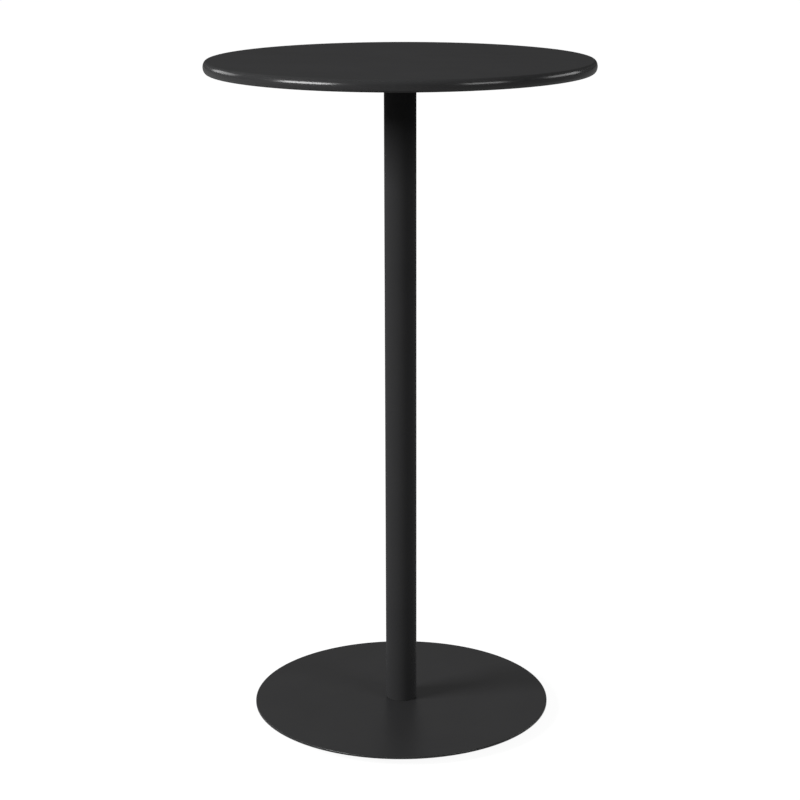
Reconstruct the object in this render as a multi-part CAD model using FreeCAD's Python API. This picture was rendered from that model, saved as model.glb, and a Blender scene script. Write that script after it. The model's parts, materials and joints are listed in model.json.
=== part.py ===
import FreeCAD, Part
import math
import os

# Bar table: a round board on a slim column, held upright by a weighted disc base.
# Millimetres, +Z up, origin on the floor under the middle of the column.

# Whole table
TABLE_HEIGHT = 1060.0
CUT_OVERRUN = 5.0
CORNERS = ["front_right", "back_right", "back_left", "front_left"]
FIRST_CORNER_ANGLE = -45.0

# Board
TOP_DIAMETER = 600.0
TOP_THICKNESS = 18.0
TOP_EDGE_DEPTH = 5.5

# Column
COLUMN_DIAMETER = 50.0
COLUMN_WALL = 2.0
SPIGOT_CLEARANCE = 0.15

# Base cover, a shallow pressed dish that lies upside down on the ballast
BASE_DIAMETER = 480.0
COVER_SHEET = 1.2
COVER_RIM_HEIGHT = 3.5
COVER_INNER_BEND = 0.3

# Ballast, a cast disc with a boss that centres the column
BALLAST_INSET = 20.0
BALLAST_THICKNESS = 7.0
BALLAST_EDGE_RADIUS = 2.0
BALLAST_BOSS_HEIGHT = 15.0
BALLAST_BOSS_CHAMFER = 1.5

# Spider under the board: a turned hub with a folded channel arm at each corner
HUB_DIAMETER = 70.0
HUB_HEIGHT = 20.0
HUB_SPIGOT_LENGTH = 20.0
HUB_CHAMFER = 1.5
ARM_EDGE_DISTANCE = 110.0
ARM_WIDTH = 30.0
ARM_SHEET = 2.5
ARM_INNER_BEND = 1.5
ARM_ROOT_DEPTH = 16.0
ARM_TIP_DEPTH = 7.0
ARM_TIP_RADIUS = 9.0
WELD_GAP = 0.1

# Board screws, their washers and the inserts in the board
SCREW_TIP_DISTANCE = 18.0
SCREW_ROOT_DISTANCE = 55.0
SCREW_DIAMETER = 6.0
SCREW_SHORTFALL = 1.0
SCREW_HEAD_DIAMETER = 10.5
SCREW_HEAD_HEIGHT = 3.3
SCREW_HEAD_ROUNDING = 1.6
SCREW_SOCKET_FLATS = 4.0
SCREW_SOCKET_DEPTH = 2.0
SCREW_TIP_CHAMFER = 0.8
SCREW_HOLE_CLEARANCE = 0.4
SCREW_WASHER_DIAMETER = 12.5
SCREW_WASHER_THICKNESS = 1.6
INSERT_DIAMETER = 9.0
INSERT_LENGTH = 12.0
INSERT_FLANGE_WIDTH = 1.5
INSERT_FLANGE_THICKNESS = 1.0
INSERT_CLEARANCE = 0.05
INSERT_HOLE_SPARE = 0.8

# Tie rod inside the column, with a nut and a washer at each end
ROD_DIAMETER = 10.0
ROD_HOLE_CLEARANCE = 0.5
ROD_END_CHAMFER = 1.0
ROD_END_LENGTH = 2.0
NUT_FLATS = 17.0
NUT_HEIGHT = 8.0
TIE_WASHER_DIAMETER = 20.0
TIE_WASHER_THICKNESS = 2.0
NUT_POCKET_CLEARANCE = 3.0
NUT_POCKET_SPARE = 0.5
THREAD_CLEARANCE = 0.08

# Levelling glides: a nylon pad and a stud that turns in it
GLIDE_INSET = 22.0
PAD_DIAMETER = 32.0
PAD_TAPER = 2.5
PAD_HEIGHT = 4.0
PAD_EDGE_RADIUS = 0.8
PAD_FLOOR = 1.2
STUD_DIAMETER = 8.0
STUD_THREAD_PITCH = 1.25
STUD_TIP_CHAMFER = 1.0
STUD_TIP_CLEARANCE = 0.3
STUD_FLANGE_DIAMETER = 13.0
STUD_FLANGE_THICKNESS = 1.4
COLLAR_FLATS = 13.0
COLLAR_HEIGHT = 2.5
COLLAR_STOP_CLEARANCE = 0.3
SWIVEL_CLEARANCE = 0.08

# Levels, from the floor up
COLLAR_BOTTOM = PAD_HEIGHT + SWIVEL_CLEARANCE
COLLAR_TOP = COLLAR_BOTTOM + COLLAR_HEIGHT
BALLAST_BOTTOM = COLLAR_TOP + STUD_THREAD_PITCH + COLLAR_STOP_CLEARANCE
BALLAST_TOP = BALLAST_BOTTOM + BALLAST_THICKNESS
COVER_TOP = BALLAST_TOP + COVER_SHEET
BOARD_BOTTOM = TABLE_HEIGHT - TOP_THICKNESS
HUB_SHOULDER = BOARD_BOTTOM - HUB_HEIGHT
NUT_STACK = TIE_WASHER_THICKNESS + NUT_HEIGHT + ROD_END_LENGTH
LOWER_SEAT = BALLAST_BOTTOM + NUT_STACK + NUT_POCKET_SPARE
UPPER_SEAT = BOARD_BOTTOM - NUT_STACK - NUT_POCKET_SPARE

# Radii from the column's axis
COLUMN_BORE_RADIUS = COLUMN_DIAMETER / 2 - COLUMN_WALL
SPIGOT_RADIUS = COLUMN_BORE_RADIUS - SPIGOT_CLEARANCE
BALLAST_RADIUS = BASE_DIAMETER / 2 - BALLAST_INSET
GLIDE_CIRCLE_RADIUS = BALLAST_RADIUS - GLIDE_INSET
ARM_ROOT_RADIUS = HUB_DIAMETER / 2 + WELD_GAP
ARM_TIP_REACH = TOP_DIAMETER / 2 - ARM_EDGE_DISTANCE
SCREW_RADII = [ARM_ROOT_RADIUS + SCREW_ROOT_DISTANCE, ARM_TIP_REACH - SCREW_TIP_DISTANCE]

# Radii from the axis of each hole, pocket or flange
ROD_HOLE_RADIUS = ROD_DIAMETER / 2 + ROD_HOLE_CLEARANCE
NUT_POCKET_RADIUS = TIE_WASHER_DIAMETER / 2 + NUT_POCKET_CLEARANCE
SCREW_HOLE_RADIUS = SCREW_DIAMETER / 2 + SCREW_HOLE_CLEARANCE
INSERT_FLANGE_RADIUS = INSERT_DIAMETER / 2 + INSERT_FLANGE_WIDTH

UP = FreeCAD.Vector(0, 0, 1)


def at(x, y, z):
    return FreeCAD.Vector(x, y, z)


def rounded_corner(before, corner, after, radius):
    """Start, middle and end of the arc that rounds a corner between two neighbouring corners."""
    back = (before - corner).normalize()
    onward = (after - corner).normalize()
    half_angle = back.getAngle(onward) / 2
    reach = radius / math.tan(half_angle)
    inward = (back + onward).normalize()
    middle = corner + inward * (radius / math.sin(half_angle) - radius)
    return corner + back * reach, middle, corner + onward * reach


def turned(profile):
    """Solid of revolution about Z, from corners given as (radius, level) or (radius, level, rounding)."""
    points = [at(corner[0], 0, corner[1]) for corner in profile]
    following = points[1:] + points[:1]
    starts = list(points)
    ends = list(points)
    arcs = {}
    for i, corner in enumerate(profile):
        if len(corner) == 3:
            starts[i], middle, ends[i] = rounded_corner(points[i - 1], points[i], following[i], corner[2])
            arcs[i] = Part.Arc(starts[i], middle, ends[i]).toShape()
    edges = []
    for i in range(len(points)):
        if i in arcs:
            edges.append(arcs[i])
        next_start = starts[(i + 1) % len(points)]
        edges.append(Part.LineSegment(ends[i], next_start).toShape())
    return Part.Face(Part.Wire(edges)).revolve(at(0, 0, 0), UP, 360)


def quarter_ellipse(start, corner, end):
    """Quarter of an ellipse from start to end that touches both lines to the corner."""
    curve = Part.BSplineCurve()
    curve.buildFromPolesMultsKnots([start, corner, end], [3, 3], [0, 1], False, 2, [1, math.sqrt(0.5), 1])
    return curve.toShape()


def ring(outer_radius, inner_radius, bottom, top):
    return turned([(inner_radius, bottom), (outer_radius, bottom), (outer_radius, top), (inner_radius, top)])


def cylinder(radius, bottom, top, x=0, y=0):
    return Part.makeCylinder(radius, top - bottom, at(x, y, bottom))


def hexagon(flats, bottom, top):
    corner_radius = flats / math.sqrt(3)
    turns = [math.radians(60 * i) for i in range(7)]
    corners = [at(corner_radius * math.cos(turn), corner_radius * math.sin(turn), bottom) for turn in turns]
    return Part.Face(Part.makePolygon(corners)).extrude(at(0, 0, top - bottom))


def chamfered_hexagon(flats, bottom, top):
    """Hexagonal prism whose corners are turned down to a cone at both ends."""
    corner_radius = flats / math.sqrt(3)
    flat_radius = flats / 2
    drop = (corner_radius - flat_radius) / math.sqrt(3)
    turned_bar = turned([
        (0, bottom),
        (flat_radius, bottom),
        (corner_radius, bottom + drop),
        (corner_radius, top - drop),
        (flat_radius, top),
        (0, top),
    ])
    return hexagon(flats, bottom, top).common(turned_bar)


def around(shape, angle):
    return shape.rotated(at(0, 0, 0), UP, angle)


def corner_angles():
    return [FIRST_CORNER_ANGLE + 360 * i / len(CORNERS) for i in range(len(CORNERS))]


def at_each_screw(shape):
    along_arm = [shape.translated(at(radius, 0, 0)) for radius in SCREW_RADII]
    return [around(copy, angle) for angle in corner_angles() for copy in along_arm]


def top_board():
    """Round board whose edge is bowed from face to face."""
    radius = TOP_DIAMETER / 2
    flat_radius = radius - TOP_EDGE_DEPTH
    nose = at(radius, 0, BOARD_BOTTOM + TOP_THICKNESS / 2)
    lower_axis = at(0, 0, BOARD_BOTTOM)
    lower_edge = at(flat_radius, 0, BOARD_BOTTOM)
    upper_edge = at(flat_radius, 0, TABLE_HEIGHT)
    upper_axis = at(0, 0, TABLE_HEIGHT)
    outline = Part.Wire([
        Part.LineSegment(lower_axis, lower_edge).toShape(),
        quarter_ellipse(lower_edge, at(radius, 0, BOARD_BOTTOM), nose),
        quarter_ellipse(nose, at(radius, 0, TABLE_HEIGHT), upper_edge),
        Part.LineSegment(upper_edge, upper_axis).toShape(),
        Part.LineSegment(upper_axis, lower_axis).toShape(),
    ])
    board = Part.Face(outline).revolve(at(0, 0, 0), UP, 360)
    below = BOARD_BOTTOM - CUT_OVERRUN
    hole_top = BOARD_BOTTOM + INSERT_LENGTH + INSERT_HOLE_SPARE
    hole = cylinder(INSERT_DIAMETER / 2 + INSERT_CLEARANCE, below, hole_top)
    recess_top = BOARD_BOTTOM + INSERT_FLANGE_THICKNESS + INSERT_CLEARANCE
    recess = cylinder(INSERT_FLANGE_RADIUS + INSERT_CLEARANCE, below, recess_top)
    return board.cut(at_each_screw(hole.fuse(recess)))


def insert_nuts():
    bore = SCREW_DIAMETER / 2 + THREAD_CLEARANCE
    flange_top = BOARD_BOTTOM + INSERT_FLANGE_THICKNESS
    top = BOARD_BOTTOM + INSERT_LENGTH
    nut = turned([
        (bore, BOARD_BOTTOM),
        (INSERT_FLANGE_RADIUS, BOARD_BOTTOM),
        (INSERT_FLANGE_RADIUS, flange_top),
        (INSERT_DIAMETER / 2, flange_top),
        (INSERT_DIAMETER / 2, top),
        (bore, top),
    ])
    return Part.Compound(at_each_screw(nut))


def arm_washers():
    top = BOARD_BOTTOM - ARM_SHEET
    washer = ring(SCREW_WASHER_DIAMETER / 2, SCREW_HOLE_RADIUS, top - SCREW_WASHER_THICKNESS, top)
    return Part.Compound(at_each_screw(washer))


def arm_screws():
    seat = BOARD_BOTTOM - ARM_SHEET - SCREW_WASHER_THICKNESS
    head_bottom = seat - SCREW_HEAD_HEIGHT
    tip = BOARD_BOTTOM + INSERT_LENGTH - SCREW_SHORTFALL
    shank = SCREW_DIAMETER / 2
    screw = turned([
        (0, head_bottom),
        (SCREW_HEAD_DIAMETER / 2, head_bottom, SCREW_HEAD_ROUNDING),
        (SCREW_HEAD_DIAMETER / 2, seat),
        (shank, seat),
        (shank, tip - SCREW_TIP_CHAMFER),
        (shank - SCREW_TIP_CHAMFER, tip),
        (0, tip),
    ])
    socket = hexagon(SCREW_SOCKET_FLATS, head_bottom - CUT_OVERRUN, head_bottom + SCREW_SOCKET_DEPTH)
    return Part.Compound(at_each_screw(screw.cut(socket)))


def arm_section():
    """Cross-section of a channel arm, open downwards, in the plane across its length."""
    half = ARM_WIDTH / 2
    inner_half = half - ARM_SHEET
    top = BOARD_BOTTOM
    roof = BOARD_BOTTOM - ARM_SHEET
    bottom = BOARD_BOTTOM - ARM_ROOT_DEPTH
    corners = [(-half, bottom), (-half, top), (half, top), (half, bottom)]
    corners += [(inner_half, bottom), (inner_half, roof), (-inner_half, roof), (-inner_half, bottom)]
    outer_bend = ARM_INNER_BEND + ARM_SHEET
    bends = {1: outer_bend, 2: outer_bend, 5: ARM_INNER_BEND, 6: ARM_INNER_BEND}
    points = [at(0, across, level) for across, level in corners]
    edges = []
    first = points[0]
    place = first
    for i in range(1, len(points)):
        if i in bends:
            start, middle, end = rounded_corner(points[i - 1], points[i], points[i + 1], bends[i])
            edges.append(Part.LineSegment(place, start).toShape())
            edges.append(Part.Arc(start, middle, end).toShape())
            place = end
        else:
            edges.append(Part.LineSegment(place, points[i]).toShape())
            place = points[i]
    edges.append(Part.LineSegment(place, first).toShape())
    return Part.Face(Part.Wire(edges))


def arm_plan(bottom, top):
    """Block over an arm's outline in plan: a bar with two rounded corners at its tip."""
    half = ARM_WIDTH / 2
    corner_reach = ARM_TIP_REACH - ARM_TIP_RADIUS
    corner_half = half - ARM_TIP_RADIUS
    wide = Part.makeBox(corner_reach, 2 * half, top - bottom, at(0, -half, bottom))
    slim = Part.makeBox(ARM_TIP_REACH, 2 * corner_half, top - bottom, at(0, -corner_half, bottom))
    rounds = [cylinder(ARM_TIP_RADIUS, bottom, top, corner_reach, side * corner_half) for side in (-1, 1)]
    return wide.fuse([slim] + rounds)


def spider_arm():
    """Channel arm along +X, with flanges that grow shallower towards a rounded tip."""
    low = BOARD_BOTTOM - ARM_ROOT_DEPTH
    tip_low = BOARD_BOTTOM - ARM_TIP_DEPTH
    below = low - CUT_OVERRUN
    above = BOARD_BOTTOM + CUT_OVERRUN
    side = ARM_WIDTH / 2 + CUT_OVERRUN
    wedge_corners = [
        at(ARM_ROOT_RADIUS, -side, low),
        at(ARM_TIP_REACH, -side, tip_low),
        at(ARM_TIP_REACH, -side, below),
        at(ARM_ROOT_RADIUS, -side, below),
    ]
    wedge = Part.Face(Part.makePolygon(wedge_corners + wedge_corners[:1])).extrude(at(0, 2 * side, 0))
    hub_space = cylinder(ARM_ROOT_RADIUS, below, above)
    holes = [cylinder(SCREW_HOLE_RADIUS, below, above, radius) for radius in SCREW_RADII]
    channel = arm_section().extrude(at(ARM_TIP_REACH, 0, 0))
    return channel.common(arm_plan(below, above)).cut([wedge, hub_space] + holes)


def spider_hub():
    spigot_end = HUB_SHOULDER - HUB_SPIGOT_LENGTH
    hub_radius = HUB_DIAMETER / 2
    return turned([
        (ROD_HOLE_RADIUS, spigot_end),
        (SPIGOT_RADIUS - HUB_CHAMFER, spigot_end),
        (SPIGOT_RADIUS, spigot_end + HUB_CHAMFER),
        (SPIGOT_RADIUS, HUB_SHOULDER),
        (hub_radius - HUB_CHAMFER, HUB_SHOULDER),
        (hub_radius, HUB_SHOULDER + HUB_CHAMFER),
        (hub_radius, BOARD_BOTTOM),
        (NUT_POCKET_RADIUS, BOARD_BOTTOM),
        (NUT_POCKET_RADIUS, UPPER_SEAT),
        (ROD_HOLE_RADIUS, UPPER_SEAT),
    ])


def column_tube():
    return ring(COLUMN_DIAMETER / 2, COLUMN_BORE_RADIUS, COVER_TOP, HUB_SHOULDER)


def tie_rod():
    radius = ROD_DIAMETER / 2
    bottom = LOWER_SEAT - NUT_STACK
    top = UPPER_SEAT + NUT_STACK
    return turned([
        (0, bottom),
        (radius - ROD_END_CHAMFER, bottom),
        (radius, bottom + ROD_END_CHAMFER),
        (radius, top - ROD_END_CHAMFER),
        (radius - ROD_END_CHAMFER, top),
        (0, top),
    ])


def tie_washer(bottom):
    return ring(TIE_WASHER_DIAMETER / 2, ROD_HOLE_RADIUS, bottom, bottom + TIE_WASHER_THICKNESS)


def tie_nut(bottom):
    top = bottom + NUT_HEIGHT
    bore = cylinder(ROD_DIAMETER / 2 + THREAD_CLEARANCE, bottom - CUT_OVERRUN, top + CUT_OVERRUN)
    return chamfered_hexagon(NUT_FLATS, bottom, top).cut(bore)


def base_cover():
    radius = BASE_DIAMETER / 2
    hole = SPIGOT_RADIUS + SPIGOT_CLEARANCE
    rim_bottom = COVER_TOP - COVER_RIM_HEIGHT
    return turned([
        (hole, BALLAST_TOP),
        (radius - COVER_SHEET, BALLAST_TOP, COVER_INNER_BEND),
        (radius - COVER_SHEET, rim_bottom),
        (radius, rim_bottom),
        (radius, COVER_TOP, COVER_INNER_BEND + COVER_SHEET),
        (hole, COVER_TOP),
    ])


def ballast_plate():
    boss_top = BALLAST_TOP + BALLAST_BOSS_HEIGHT
    plate = turned([
        (NUT_POCKET_RADIUS, BALLAST_BOTTOM),
        (BALLAST_RADIUS, BALLAST_BOTTOM, BALLAST_EDGE_RADIUS),
        (BALLAST_RADIUS, BALLAST_TOP, BALLAST_EDGE_RADIUS),
        (SPIGOT_RADIUS, BALLAST_TOP),
        (SPIGOT_RADIUS, boss_top - BALLAST_BOSS_CHAMFER),
        (SPIGOT_RADIUS - BALLAST_BOSS_CHAMFER, boss_top),
        (ROD_HOLE_RADIUS, boss_top),
        (ROD_HOLE_RADIUS, LOWER_SEAT),
        (NUT_POCKET_RADIUS, LOWER_SEAT),
    ])
    hole_radius = STUD_DIAMETER / 2 + THREAD_CLEARANCE
    hole_bottom = BALLAST_BOTTOM - CUT_OVERRUN
    hole_top = BALLAST_TOP + CUT_OVERRUN
    hole = cylinder(hole_radius, hole_bottom, hole_top, GLIDE_CIRCLE_RADIUS)
    return plate.cut([around(hole, angle) for angle in corner_angles()])


def glide_pad():
    """Nylon pad with a socket that holds the stud's flange under a lip."""
    socket = STUD_FLANGE_DIAMETER / 2 + SWIVEL_CLEARANCE
    neck = STUD_DIAMETER / 2 + SWIVEL_CLEARANCE
    socket_top = PAD_FLOOR + STUD_FLANGE_THICKNESS + 2 * SWIVEL_CLEARANCE
    return turned([
        (0, 0),
        (PAD_DIAMETER / 2, 0, PAD_EDGE_RADIUS),
        (PAD_DIAMETER / 2 - PAD_TAPER, PAD_HEIGHT, PAD_EDGE_RADIUS),
        (neck, PAD_HEIGHT),
        (neck, socket_top),
        (socket, socket_top),
        (socket, PAD_FLOOR),
        (0, PAD_FLOOR),
    ])


def glide_stud():
    """Threaded stud with a hex collar, and a flange below it that stays in the pad."""
    thread = STUD_DIAMETER / 2
    flange_bottom = PAD_FLOOR + SWIVEL_CLEARANCE
    flange_top = flange_bottom + STUD_FLANGE_THICKNESS
    tip = BALLAST_TOP - STUD_TIP_CLEARANCE - STUD_THREAD_PITCH
    stem = turned([
        (0, flange_bottom),
        (STUD_FLANGE_DIAMETER / 2, flange_bottom),
        (STUD_FLANGE_DIAMETER / 2, flange_top),
        (thread, flange_top),
        (thread, tip - STUD_TIP_CHAMFER),
        (thread - STUD_TIP_CHAMFER, tip),
        (0, tip),
    ])
    return stem.fuse(chamfered_hexagon(COLLAR_FLATS, COLLAR_BOTTOM, COLLAR_TOP)).removeSplitter()


def all_nodes():
    nodes = {
        "top_board": top_board(),
        "insert_nuts": insert_nuts(),
        "arm_washers": arm_washers(),
        "arm_screws": arm_screws(),
        "spider_hub": spider_hub(),
        "column_tube": column_tube(),
        "tie_rod": tie_rod(),
        "top_tie_washer": tie_washer(UPPER_SEAT),
        "top_tie_nut": tie_nut(UPPER_SEAT + TIE_WASHER_THICKNESS),
        "bottom_tie_washer": tie_washer(LOWER_SEAT - TIE_WASHER_THICKNESS),
        "bottom_tie_nut": tie_nut(LOWER_SEAT - TIE_WASHER_THICKNESS - NUT_HEIGHT),
        "base_cover": base_cover(),
        "ballast_plate": ballast_plate(),
    }
    glide_place = at(GLIDE_CIRCLE_RADIUS, 0, 0)
    pad = glide_pad().translated(glide_place)
    stud = glide_stud().translated(glide_place)
    for corner, angle in zip(CORNERS, corner_angles()):
        nodes["spider_arm_" + corner] = around(spider_arm(), angle)
        nodes["glide_pad_" + corner] = around(pad, angle)
        nodes["glide_stud_" + corner] = around(stud, angle)
    return nodes


os.makedirs("parts", exist_ok=True)
for name, shape in all_nodes().items():
    shape.exportStep("parts/" + name + ".step")
    state = "valid" if shape.isValid() else "not valid"
    print(name, len(shape.Solids), "solid(s)", round(shape.Volume), "mm3", state)
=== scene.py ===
import json
import math
import bpy
from mathutils import Matrix, Vector


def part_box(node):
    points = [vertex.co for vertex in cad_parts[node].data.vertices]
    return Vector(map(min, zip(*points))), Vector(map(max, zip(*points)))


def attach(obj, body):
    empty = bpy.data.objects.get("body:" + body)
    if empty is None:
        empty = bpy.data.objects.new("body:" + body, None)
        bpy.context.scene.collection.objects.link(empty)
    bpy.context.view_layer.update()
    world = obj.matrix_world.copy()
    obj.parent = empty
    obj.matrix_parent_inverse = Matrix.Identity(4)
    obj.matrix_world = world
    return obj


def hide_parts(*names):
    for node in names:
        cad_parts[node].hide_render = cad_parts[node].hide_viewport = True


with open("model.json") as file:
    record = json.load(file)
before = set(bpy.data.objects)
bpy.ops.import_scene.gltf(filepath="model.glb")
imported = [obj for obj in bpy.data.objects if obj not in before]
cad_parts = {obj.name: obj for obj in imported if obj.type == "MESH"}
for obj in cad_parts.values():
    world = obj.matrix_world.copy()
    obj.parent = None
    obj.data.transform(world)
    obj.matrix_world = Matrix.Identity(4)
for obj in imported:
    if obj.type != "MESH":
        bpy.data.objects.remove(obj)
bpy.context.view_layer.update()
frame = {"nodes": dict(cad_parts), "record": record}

# Bar table: finishes for the solids, and finer meshes where turned edges, threads and welds show.
# Metres, +Z up, origin on the floor under the middle of the column.

NODES = frame["nodes"]
scene = bpy.context.scene
scene.view_settings.view_transform = "Standard"

# Directions of the spider's arms and of the glides, in degrees from +X
CORNER_ANGLES = {"front_right": -45, "back_right": 45, "back_left": 135, "front_left": 225}

# Board and column
BOARD_EDGE_DEPTH = 0.0055
COLUMN_WALL = 0.002
COLUMN_EASE = 0.0003

# Base cover
COVER_SHEET = 0.0012
COVER_INNER_BEND = 0.0003
COVER_BEND = COVER_SHEET + COVER_INNER_BEND

# Reach of the glossy band on a rounded edge, in degrees each way from the arc's outward direction
GLOSS_TURN = 50

# Glide studs and tie rod
STUD_FLANGE_RADIUS = 0.0065
STUD_FLANGE_THICKNESS = 0.0014
STUD_PITCH = 0.00125
STUD_TIP_CHAMFER = 0.001
STUD_RADIUS = 0.004
STUD_SWIVEL_GAP = 0.00008
COLLAR_FLATS = 0.013
COLLAR_HEIGHT = 0.0025
ROD_PITCH = 0.0015
ROD_THREAD_LENGTH = 0.016
ROD_CHAMFER = 0.001
THREAD_DEPTH_SHARE = 0.6
THREAD_STEEPNESS = 1.3

# Welds between the spider's hub and its arms
ARM_HALF_WIDTH = 0.015
ARM_DEPTH = 0.016
ARM_BEND = 0.004
WELD_RADIUS = 0.0021
WELD_RIPPLES = 9
WELD_RIPPLE_SHARE = 0.16
WELD_END_POWER = 8

# Fineness of the meshes: steps in a full turn, degrees along an arc, and rings in one detail
DISC_STEPS = 360
TUBE_STEPS = 128
SCREW_STEPS = 48
WELD_STEPS = 20
EDGE_DEGREES = 2.5
BEND_DEGREES = 5
PITCH_RINGS = 10
CHAMFER_RINGS = 4
RIPPLE_RINGS = 8
SHARP_DEGREES = 35

# Noise in the finishes: the span of its values that is used, and its detail
NOISE_LOW = 0.3
NOISE_HIGH = 0.7
CLOUD_DETAIL = 4.0
GRAIN_DETAIL = 2.0

# Lamps and camera; the lamps are aimed at the axis, just under the board's top
AIM_LEVEL = 1.05
SOFTBOX_DISTANCE = 8.0
STRIP_DISTANCE = 3.2
CAMERA_LENS = 91.31
CAMERA_SENSOR = 36.0
CAMERA_REACH = 200.0
CAMERA_PLACE = (-0.0012, -3.1198, 1.3588)
CAMERA_TILT_DEGREES = 15.011
CAMERA_ROLL_RADIANS = -0.00216


def new_material(name, **inputs):
    """A Principled material; inputs are socket names with _ for spaces."""
    mat = bpy.data.materials.new(name)
    mat.use_nodes = True
    shader = mat.node_tree.nodes["Principled BSDF"]
    for socket, value in inputs.items():
        shader.inputs[socket.replace("_", " ")].default_value = value
    return mat, mat.node_tree, shader


def add(tree, kind, **settings):
    """A node; settings are its properties, or else its input sockets with _ for spaces."""
    node = tree.nodes.new(kind)
    for key, value in settings.items():
        if hasattr(node, key):
            setattr(node, key, value)
        else:
            node.inputs[key.replace("_", " ")].default_value = value
    return node


def noise(tree, scale, detail):
    """Noise in the piece's own coordinates, in features per metre."""
    node = add(tree, "ShaderNodeTexNoise", Scale=scale, Detail=detail)
    tree.links.new(add(tree, "ShaderNodeTexCoord").outputs["Object"], node.inputs["Vector"])
    return node.outputs["Fac"]


def ramp_by(tree, value, start, end, low, high):
    """The value's span from start to end, moved to low..high and held there beyond it."""
    node = add(tree, "ShaderNodeMapRange", From_Min=start, From_Max=end, To_Min=low, To_Max=high)
    tree.links.new(value, node.inputs["Value"])
    return node.outputs["Result"]


def finish(name, tones, clouding, gloss, patches, grain, depth, **inputs):
    """Surface whose tone clouds between two colours and whose roughness is patchy, with a fine grain."""
    mat, tree, shader = new_material(name, **inputs)
    ramp = add(tree, "ShaderNodeValToRGB")
    for element, position, tone in zip(ramp.color_ramp.elements, (NOISE_LOW, NOISE_HIGH), tones):
        element.position = position
        element.color = (*tone, 1)
    tree.links.new(noise(tree, clouding, CLOUD_DETAIL), ramp.inputs["Fac"])
    tree.links.new(ramp.outputs["Color"], shader.inputs["Base Color"])
    rough = ramp_by(tree, noise(tree, patches, CLOUD_DETAIL), NOISE_LOW, NOISE_HIGH, *gloss)
    tree.links.new(rough, shader.inputs["Roughness"])
    relief = add(tree, "ShaderNodeBump", Distance=depth)
    tree.links.new(noise(tree, grain, GRAIN_DETAIL), relief.inputs["Height"])
    tree.links.new(relief.outputs["Normal"], shader.inputs["Normal"])
    return mat


# Darkest and palest tone of each finish, in linear colour
BLACK = ((0.0345, 0.0345, 0.0355), (0.0375, 0.0375, 0.0385))
FACE_BLACK = ((0.0365, 0.0365, 0.0375), (0.0395, 0.0395, 0.0405))
BASE_BLACK = ((0.0280, 0.0280, 0.0288), (0.0306, 0.0306, 0.0314))
IRON = ((0.020, 0.020, 0.021), (0.032, 0.031, 0.031))
NYLON = ((0.026, 0.026, 0.026), (0.034, 0.034, 0.034))
ZINC = ((0.50, 0.51, 0.53), (0.63, 0.64, 0.66))

# Paint clouds and varies in gloss over this many features per metre
PAINT = {"clouding": 9.0, "patches": 14.0}
lacquer_face = finish("black_lacquer_face", FACE_BLACK, gloss=(0.48, 0.52), grain=900.0, depth=0.00002,
                      Specular_IOR_Level=0.15, **PAINT)
lacquer_edge = finish("black_lacquer_edge", BLACK, gloss=(0.18, 0.21), grain=1600.0, depth=0.000002,
                      Specular_IOR_Level=0.30, **PAINT)
column_coat = finish("column_powder_coat", BLACK, gloss=(0.55, 0.63), grain=900.0, depth=0.00009,
                     Specular_IOR_Level=0.05, **PAINT)
base_coat = finish("base_powder_coat", BASE_BLACK, gloss=(0.31, 0.36), grain=900.0, depth=0.00006,
                   Specular_IOR_Level=0.72, **PAINT)
rim_coat = finish("rim_powder_coat", BASE_BLACK, gloss=(0.24, 0.28), grain=900.0, depth=0.00002,
                  Specular_IOR_Level=0.32, **PAINT)
iron = finish("ballast_iron", IRON, clouding=60.0, gloss=(0.60, 0.80), patches=45.0, grain=420.0,
              depth=0.00012, Specular_IOR_Level=0.35)
nylon = finish("black_nylon", NYLON, clouding=80.0, gloss=(0.42, 0.58), patches=120.0, grain=1500.0,
               depth=0.00002, Specular_IOR_Level=0.40)
zinc = finish("zinc_steel", ZINC, clouding=240.0, gloss=(0.26, 0.42), patches=150.0, grain=2600.0,
              depth=0.000004, Metallic=1.0)

by_slot = {
    "black_lacquer": lacquer_face,
    "black_powder_coat": base_coat,
    "ballast_iron": iron,
    "zinc_steel": zinc,
    "black_nylon": nylon,
}
for part in frame["record"]["subparts"]:
    data = NODES[part["node"]].data
    data.materials.clear()
    data.materials.append(by_slot[part["material_slot"]])


def arc(radius, level, reach, rise, start, end, step):
    """Points of an elliptical arc in a turned profile; angles in degrees from the outward direction."""
    count = math.ceil(abs(end - start) / step)
    turns = [math.radians(start + (end - start) * i / count) for i in range(count + 1)]
    return [(radius + reach * math.cos(t), level + rise * math.sin(t)) for t in turns]


def lathe(name, rings, steps, surface, loop=False, centre=(0, 0)):
    """Mesh turned about an upright axis. A ring is (radius, level); its radius may depend on the angle.
    Rings run outward along the underside and upward along the outside. A loop closes on its first ring."""
    verts = []
    rows = []
    for radius, level in rings:
        if radius == 0:
            rows.append([len(verts)] * steps)
            verts.append((*centre, level))
            continue
        rows.append(range(len(verts), len(verts) + steps))
        for i in range(steps):
            a = 2 * math.pi * i / steps
            r = radius(a) if callable(radius) else radius
            verts.append((centre[0] + r * math.cos(a), centre[1] + r * math.sin(a), level))
    faces = []
    following = rows[1:] + rows[:1] if loop else rows[1:]
    for low, high in zip(rows, following):
        for i in range(steps):
            j = (i + 1) % steps
            faces.append(list(dict.fromkeys((low[i], low[j], high[j], high[i]))))
    mesh = bpy.data.meshes.new(name)
    mesh.from_pydata(verts, [], faces)
    mesh.materials.append(surface)
    mesh.polygons.foreach_set("use_smooth", [True] * len(faces))
    mesh.set_sharp_from_angle(angle=math.radians(SHARP_DEGREES))
    piece = bpy.data.objects.new(name, mesh)
    scene.collection.objects.link(piece)
    return piece


def stands_for(piece, body, slot, *nodes):
    """Say which body a piece rides on and which solids it replaces; the slot is not used."""
    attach(piece, body)
    if nodes:
        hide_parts(*nodes)


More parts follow.
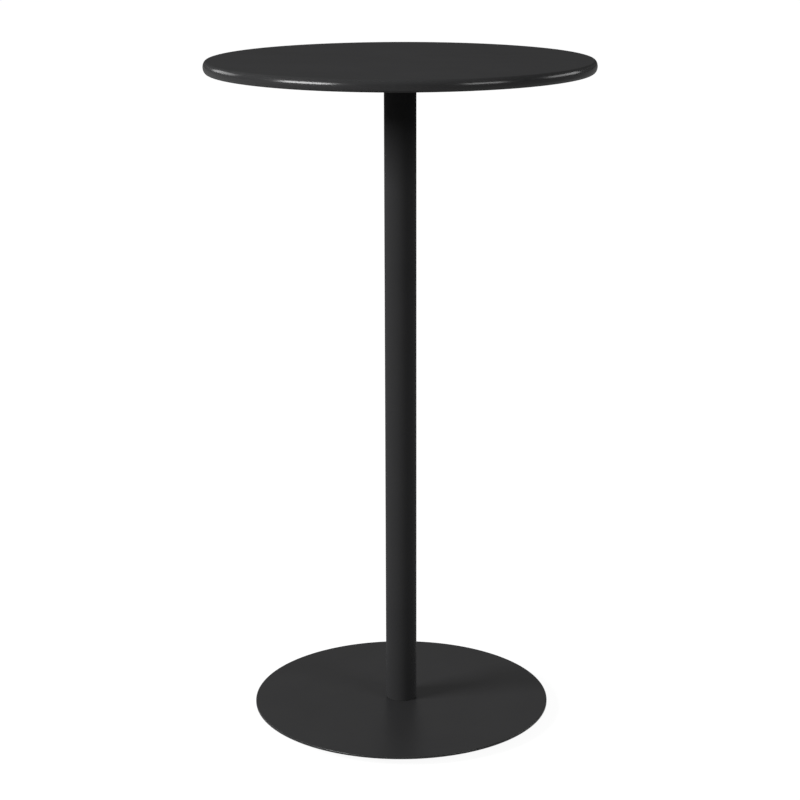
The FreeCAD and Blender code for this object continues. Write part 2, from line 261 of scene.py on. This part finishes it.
def make_board():
    """The board as a core with satin faces and the glossy band round its bowed edge. Returns the band."""
    (_, _, bottom), (radius, _, top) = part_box("top_board")
    flat = radius - BOARD_EDGE_DEPTH
    across = [0, flat / 3, 2 * flat / 3]

    def bow(start, end):
        middle = (bottom + top) / 2
        return arc(flat, middle, BOARD_EDGE_DEPTH, (top - bottom) / 2, start, end, EDGE_DEGREES)

    rings = [(r, bottom) for r in across] + bow(-90, -GLOSS_TURN)
    rings += bow(GLOSS_TURN, 90) + [(r, top) for r in reversed(across)]
    core = lathe("board", rings, DISC_STEPS, lacquer_face)
    band = lathe("board_edge", bow(-GLOSS_TURN, GLOSS_TURN), DISC_STEPS, lacquer_edge, loop=True)
    for piece in (core, band):
        stands_for(piece, "table", "black_lacquer", "top_board")
    return band


def make_column():
    """Straight tube whose outer edges are eased at both ends. Returns the tube."""
    (_, _, bottom), (radius, _, top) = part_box("column_tube")
    bore = radius - COLUMN_WALL
    outside = [(radius - COLUMN_EASE, bottom), (radius, bottom + COLUMN_EASE)]
    outside += [(radius, top - COLUMN_EASE), (radius - COLUMN_EASE, top)]
    inside = [(bore, top), (bore, bottom)]
    tube = lathe("column", outside + inside, TUBE_STEPS, column_coat, loop=True)
    stands_for(tube, "table", "black_powder_coat", "column_tube")
    return tube


def make_cover():
    """The cover as a satin disc and the glossy band of its turned-down rim. Returns the band."""
    (_, _, bottom), (radius, _, top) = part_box("base_cover")
    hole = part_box("column_tube")[1][0] - COLUMN_WALL
    flat = radius - COVER_BEND
    under = top - COVER_SHEET
    across = [hole, (hole + flat) / 2]

    def bend(reach, start, end):
        return arc(flat, top - COVER_BEND, reach, reach, start, end, BEND_DEGREES)

    rings = [(r, under) for r in across] + bend(COVER_INNER_BEND, 90, GLOSS_TURN)
    rings += bend(COVER_BEND, GLOSS_TURN, 90) + [(r, top) for r in reversed(across)]
    disc = lathe("cover", rings, DISC_STEPS, base_coat, loop=True)
    rings = bend(COVER_INNER_BEND, GLOSS_TURN, 0) + [(radius - COVER_SHEET, bottom), (radius, bottom)]
    rings += bend(COVER_BEND, 0, GLOSS_TURN)
    band = lathe("cover_rim", rings, DISC_STEPS, rim_coat, loop=True)
    for piece in (disc, band):
        stands_for(piece, "table", "black_powder_coat", "base_cover")
    return band


def levels(bottom, top, step):
    """Evenly spaced levels from bottom to top, about a step apart."""
    count = max(1, round((top - bottom) / step))
    return [bottom + (top - bottom) * i / count for i in range(count + 1)]


def thread_ring(radius, pitch, level):
    """Ring of a right-hand thread with flat crests and roots: its radius by angle, and its level."""
    depth = THREAD_DEPTH_SHARE * pitch

    def reach(angle):
        height = abs(2 * ((level / pitch - angle / (2 * math.pi)) % 1) - 1)
        flank = THREAD_STEEPNESS * height - (THREAD_STEEPNESS - 1) / 2
        return radius - depth * (1 - min(max(flank, 0), 1))

    return reach, level


def hex_ring(flats, corner, limit, level):
    """Ring of a hexagon with a corner at this angle, turned down to a limiting radius."""

    def reach(angle):
        from_flat = (angle - corner) % math.radians(60) - math.radians(30)
        return min(flats / 2 / math.cos(from_flat), limit)

    return reach, level


def make_stud(corner, degrees):
    """Threaded stud with a hex collar, chamfered at 30 degrees, and a flange that stays in the pad."""
    low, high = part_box("glide_stud_" + corner)
    pad_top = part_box("glide_pad_" + corner)[1][2]
    angle = math.radians(degrees)
    slope = math.sqrt(3)
    flat_radius = COLLAR_FLATS / 2
    drop = (COLLAR_FLATS / slope - flat_radius) / slope
    flange_top = low[2] + STUD_FLANGE_THICKNESS
    collar = pad_top + STUD_SWIVEL_GAP
    collar_top = collar + COLLAR_HEIGHT
    rings = [(0, low[2]), (STUD_FLANGE_RADIUS, low[2]), (STUD_FLANGE_RADIUS, flange_top)]
    rings += [(STUD_RADIUS, flange_top), (STUD_RADIUS, collar)]
    for level in levels(collar, collar + drop, drop / CHAMFER_RINGS):
        rings.append(hex_ring(COLLAR_FLATS, angle, flat_radius + (level - collar) * slope, level))
    for level in levels(collar_top - drop, collar_top, drop / CHAMFER_RINGS):
        rings.append(hex_ring(COLLAR_FLATS, angle, flat_radius + (collar_top - level) * slope, level))
    thread = levels(collar_top, high[2] - STUD_TIP_CHAMFER, STUD_PITCH / PITCH_RINGS)
    rings += [thread_ring(STUD_RADIUS, STUD_PITCH, level) for level in thread]
    rings += [(STUD_RADIUS - STUD_TIP_CHAMFER, high[2]), (0, high[2])]
    centre = ((low[0] + high[0]) / 2, (low[1] + high[1]) / 2)
    stud = lathe("stud_" + corner, rings, SCREW_STEPS, zinc, centre=centre)
    stands_for(stud, "glide_stud_" + corner, "zinc_steel", "glide_stud_" + corner)


def make_rod():
    """Tie rod, threaded at both ends."""
    (_, _, bottom), (radius, _, top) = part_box("tie_rod")
    low_end = levels(bottom + ROD_CHAMFER, bottom + ROD_THREAD_LENGTH, ROD_PITCH / PITCH_RINGS)
    high_end = levels(top - ROD_THREAD_LENGTH, top - ROD_CHAMFER, ROD_PITCH / PITCH_RINGS)
    tip = radius - ROD_CHAMFER
    rings = [(0, bottom), (tip, bottom)]
    rings += [thread_ring(radius, ROD_PITCH, level) for level in low_end]
    rings += [(radius, low_end[-1] + ROD_PITCH), (radius, high_end[0] - ROD_PITCH)]
    rings += [thread_ring(radius, ROD_PITCH, level) for level in high_end]
    rings += [(tip, top), (0, top)]
    stands_for(lathe("rod", rings, SCREW_STEPS, zinc), "table", "zinc_steel", "tie_rod")


def make_weld(corner, degrees, side):
    """Rippled bead up the joint between the hub and one side of an arm."""
    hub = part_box("spider_hub")
    hub_radius = hub[1][0]
    board_bottom = hub[1][2]
    along = math.sqrt(hub_radius ** 2 - ARM_HALF_WIDTH ** 2)
    across = side * ARM_HALF_WIDTH
    cosine = math.cos(math.radians(degrees))
    sine = math.sin(math.radians(degrees))
    centre = (along * cosine - across * sine, along * sine + across * cosine)
    bottom = board_bottom - ARM_DEPTH
    top = board_bottom - ARM_BEND
    count = RIPPLE_RINGS * WELD_RIPPLES
    rings = [(0, bottom)]
    for i in range(1, count):
        share = i / count
        ripple = 1 - WELD_RIPPLE_SHARE * abs(math.cos(math.pi * WELD_RIPPLES * share))
        taper = math.sqrt(1 - (2 * share - 1) ** WELD_END_POWER)
        rings.append((WELD_RADIUS * ripple * taper, bottom + (top - bottom) * share))
    rings.append((0, top))
    name = "weld_" + corner + ("_left" if side > 0 else "_right")
    stands_for(lathe(name, rings, WELD_STEPS, base_coat, centre=centre), "table", "black_powder_coat")


board_edge = make_board()
column = make_column()
cover_rim = make_cover()
make_rod()
for corner, degrees in CORNER_ANGLES.items():
    make_stud(corner, degrees)
    make_weld(corner, degrees, 1)
    make_weld(corner, degrees, -1)


def combine(tree, operation, first, second):
    """Math on two values."""
    node = add(tree, "ShaderNodeMath", operation=operation)
    tree.links.new(first, node.inputs[0])
    tree.links.new(second, node.inputs[1])
    return node.outputs[0]


def floor_disc(radius, corners, below, matte):
    """Pale floor: it shows white to the camera and in reflections, keeps shadows, and is clear from below.
    Far from the object the lamps reach it less, so it glows more there, and it fades in reflections."""
    mesh = bpy.data.meshes.new("floor")
    turns = [2 * math.pi * i / corners for i in range(corners)]
    outline = [(radius * math.cos(t), radius * math.sin(t), -below) for t in turns]
    mesh.from_pydata(outline, [], [range(corners)])
    disc = bpy.data.objects.new("floor", mesh)
    scene.collection.objects.link(disc)
    mat = bpy.data.materials.new("pale_floor")
    mat.use_nodes = True
    tree = mat.node_tree
    tree.nodes.clear()
    away = add(tree, "ShaderNodeVectorMath", operation="LENGTH")
    tree.links.new(add(tree, "ShaderNodeTexCoord").outputs["Object"], away.inputs[0])
    glow = ramp_by(tree, away.outputs["Value"], start=1.0, end=8.0, low=0.93, high=0.975)
    fade = ramp_by(tree, away.outputs["Value"], start=0.6, end=3.0, low=0.45, high=0.12)
    rays = add(tree, "ShaderNodeLightPath").outputs
    direct = combine(tree, "ADD", rays["Is Camera Ray"], rays["Is Transmission Ray"])
    mirrored = combine(tree, "MULTIPLY", rays["Is Glossy Ray"], fade)
    shown = combine(tree, "ADD", direct, mirrored)
    emission = add(tree, "ShaderNodeEmission", Color=(1, 1, 1, 1))
    tree.links.new(combine(tree, "MULTIPLY", shown, glow), emission.inputs["Strength"])
    paint = add(tree, "ShaderNodeBsdfDiffuse", Color=(matte, matte, matte, 1))
    both = add(tree, "ShaderNodeAddShader")
    tree.links.new(paint.outputs[0], both.inputs[0])
    tree.links.new(emission.outputs[0], both.inputs[1])
    side = add(tree, "ShaderNodeMixShader")
    tree.links.new(add(tree, "ShaderNodeNewGeometry").outputs["Backfacing"], side.inputs[0])
    tree.links.new(both.outputs[0], side.inputs[1])
    tree.links.new(add(tree, "ShaderNodeBsdfTransparent").outputs[0], side.inputs[2])
    tree.links.new(side.outputs[0], add(tree, "ShaderNodeOutputMaterial").inputs["Surface"])
    mesh.materials.append(mat)


def softbox(name, azimuth, elevation, width, height, light, distance):
    """Area lamp aimed at the board. Azimuth runs to the right from the camera's side, in degrees.
    Light is what reaches the aim, over pi, from a lamp that is small for its distance."""
    lamp = bpy.data.lights.new(name, "AREA")
    lamp.shape = "RECTANGLE"
    lamp.size = width
    lamp.size_y = height
    lamp.energy = light * math.pi ** 2 * distance ** 2
    a = math.radians(azimuth)
    e = math.radians(elevation)
    away = Vector((math.sin(a) * math.cos(e), -math.cos(a) * math.cos(e), math.sin(e)))
    box = bpy.data.objects.new(name, lamp)
    box.location = Vector((0, 0, AIM_LEVEL)) + away * distance
    box.rotation_euler = away.to_track_quat("Z", "Y").to_euler()
    box.visible_camera = False
    scene.collection.objects.link(box)
    return box


def soft_light(name, distance=SOFTBOX_DISTANCE, **place):
    """Softbox that lights the object but isn't mirrored in it."""
    box = softbox(name, distance=distance, **place)
    box.visible_glossy = False
    return box


def glint(name, **place):
    """Strip light that only draws a highlight."""
    strip = softbox(name, distance=STRIP_DISTANCE, **place)
    strip.visible_diffuse = False
    return strip


def keep_to(pieces, *lamps):
    """Flag the lamps, so that their light falls on these pieces alone."""
    lit = bpy.data.collections.new("lit")
    for piece in pieces:
        lit.objects.link(piece)
    for lamp in lamps:
        lamp.light_linking.receiver_collection = lit


def sky(horizon, zenith, shown):
    """Soft grey surroundings, paler overhead, that show pale to the camera."""
    world = bpy.data.worlds.new("studio")
    world.use_nodes = True
    tree = world.node_tree
    split = add(tree, "ShaderNodeSeparateXYZ")
    tree.links.new(add(tree, "ShaderNodeTexCoord").outputs["Generated"], split.inputs["Vector"])
    ramp = add(tree, "ShaderNodeValToRGB")
    for element, level in zip(ramp.color_ramp.elements, (horizon, zenith)):
        element.color = (level, level, level, 1)
    tree.links.new(split.outputs["Z"], ramp.inputs["Fac"])
    tree.links.new(ramp.outputs["Color"], tree.nodes["Background"].inputs["Color"])
    rays = add(tree, "ShaderNodeLightPath").outputs
    pale = add(tree, "ShaderNodeBackground", Color=(shown, shown, shown, 1))
    seen = add(tree, "ShaderNodeMixShader")
    direct = combine(tree, "ADD", rays["Is Camera Ray"], rays["Is Transmission Ray"])
    tree.links.new(direct, seen.inputs[0])
    tree.links.new(tree.nodes["Background"].outputs[0], seen.inputs[1])
    tree.links.new(pale.outputs[0], seen.inputs[2])
    tree.links.new(seen.outputs[0], tree.nodes["World Output"].inputs["Surface"])
    scene.world = world


floor_disc(radius=40.0, corners=96, below=0.0005, matte=0.17)
sky(horizon=0.054, zenith=0.24, shown=1.0)
soft_light("key", azimuth=-69, elevation=23, width=3.2, height=2.7, light=1.13)
soft_light("fill", azimuth=52, elevation=24, width=3.0, height=2.7, light=0.29)
keep_to([column],
        soft_light("back_left", azimuth=-150, elevation=24, width=3.2, height=2.7, light=0.42),
        soft_light("back_right", azimuth=148, elevation=24, width=3.2, height=2.7, light=0.95))
# The solids that still show are under the board and the base, where light comes up off the floor
bounce = soft_light("floor_bounce", azimuth=0, elevation=-90, width=3.0, height=3.0, light=1.9,
                    distance=AIM_LEVEL)
keep_to(NODES.values(), bounce)
keep_to([board_edge, cover_rim],
        glint("left_strip", azimuth=-53, elevation=9, width=1.7, height=0.8, light=1.08),
        glint("back_left_strip", azimuth=-120, elevation=12, width=1.4, height=0.8, light=0.115),
        glint("right_strip", azimuth=47, elevation=7, width=1.3, height=0.7, light=0.18),
        glint("back_right_strip", azimuth=105, elevation=10, width=1.7, height=0.7, light=0.13))

camera_data = bpy.data.cameras.new("camera")
camera_data.lens = CAMERA_LENS
camera_data.sensor_width = CAMERA_SENSOR
camera_data.clip_end = CAMERA_REACH
camera = bpy.data.objects.new("camera", camera_data)
camera.location = CAMERA_PLACE
tilt = Matrix.Rotation(math.radians(90 - CAMERA_TILT_DEGREES), 4, "X")
camera.rotation_euler = (tilt @ Matrix.Rotation(CAMERA_ROLL_RADIANS, 4, "Z")).to_euler()
scene.collection.objects.link(camera)
scene.camera = camera
